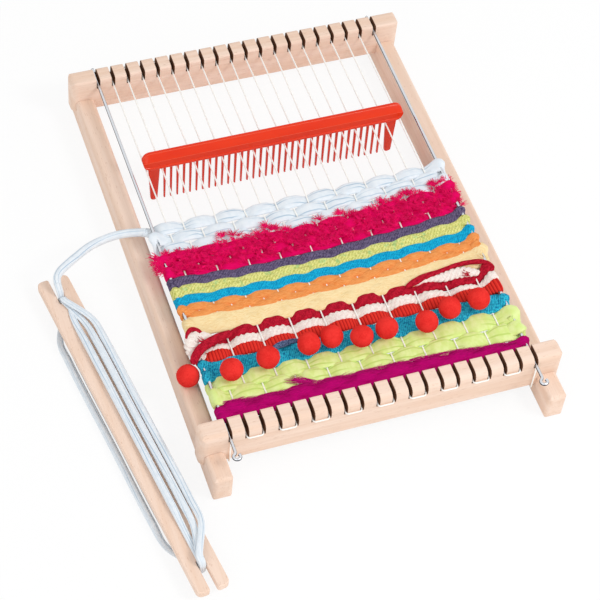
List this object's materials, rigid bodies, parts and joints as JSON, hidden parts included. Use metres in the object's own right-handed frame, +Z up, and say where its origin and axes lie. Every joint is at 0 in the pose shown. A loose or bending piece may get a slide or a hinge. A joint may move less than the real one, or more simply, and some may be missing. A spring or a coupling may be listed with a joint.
{
  "type": "weaving loom",
  "caption": "Child's wooden table-top weaving loom with slotted bars, cotton warp, a started piece of striped weaving with pom-poms, steel edge rods, a comb and a wound shuttle.",
  "frame": {"origin": "bottom centre of the part's box, on the table, measured without the free yarn", "axes": "+X along the bars to the weaver's right, +Y along the rails away from the weaver, +Z up"},
  "size_m": [0.2824, 0.3766, 0.0473],
  "materials": {
    "beech": "sanded, thin clear lacquer",
    "screw_steel": "zinc plated",
    "rod_steel": "bright drawn wire",
    "comb_plastic": "moulded, glossy",
    "warp_cotton": "twisted cotton thread",
    "magenta_wool": "loose roving",
    "green_wool": "loose roving",
    "teal_yarn": "soft yarn",
    "red_braid": "braided ribbon",
    "crimson_cord": "twisted two-colour cord",
    "yellow_yarn": "soft yarn",
    "orange_yarn": "soft yarn",
    "blue_yarn": "soft yarn",
    "olive_yarn": "soft yarn",
    "purple_grey_yarn": "soft yarn",
    "pink_fringe_yarn": "eyelash fringe yarn",
    "light_blue_yarn": "stretch jersey yarn",
    "pom_pom_felt": "fuzzy pom-pom"
  },
  "bodies": {
    "loom": {"left_rail": "beech", "right_rail": "beech", "front_bar": "beech", "back_bar": "beech", "screw_front_left": "screw_steel", "screw_front_right": "screw_steel", "screw_back_left": "screw_steel", "screw_back_right": "screw_steel", "warp": "warp_cotton", "weft_magenta_roving": "magenta_wool", "weft_green_roving": "green_wool", "weft_teal": "teal_yarn", "weft_red_braid": "red_braid", "weft_crimson_twist": "crimson_cord", "weft_yellow": "yellow_yarn", "weft_orange": "orange_yarn", "weft_blue": "blue_yarn", "weft_olive": "olive_yarn", "weft_purple_grey": "purple_grey_yarn", "weft_pink_fringe": "pink_fringe_yarn", "weft_light_blue": "light_blue_yarn", "pom_pom_01": "pom_pom_felt", "pom_pom_02": "pom_pom_felt", "pom_pom_03": "pom_pom_felt", "pom_pom_04": "pom_pom_felt", "pom_pom_05": "pom_pom_felt", "pom_pom_06": "pom_pom_felt", "pom_pom_07": "pom_pom_felt", "pom_pom_08": "pom_pom_felt", "pom_pom_09": "pom_pom_felt", "pom_pom_10": "pom_pom_felt", "free_yarn": "light_blue_yarn"},
    "comb_body": {"comb": "comb_plastic"},
    "left_rod_body": {"edge_rod_left": "rod_steel"},
    "right_rod_body": {"edge_rod_right": "rod_steel"},
    "shuttle_body": {"shuttle": "beech", "shuttle_winding": "light_blue_yarn"}
  },
  "joints": [
    {"name": "comb_beat", "type": "slide", "parent": "loom", "child": "comb_body", "axis": [0, -1, 0], "range_m": [0, 0.04]},
    {"name": "left_rod_pull", "type": "slide", "parent": "loom", "child": "left_rod_body", "axis": [0, -1, 0], "range_m": [0, 0.29]},
    {"name": "right_rod_pull", "type": "slide", "parent": "loom", "child": "right_rod_body", "axis": [0, -1, 0], "range_m": [0, 0.29]},
    {"name": "shuttle_lift", "type": "slide", "parent": "loom", "child": "shuttle_body", "axis": [0, 0, 1], "range_m": [0, 0.03], "deforming": ["free_yarn"]}
  ]
}
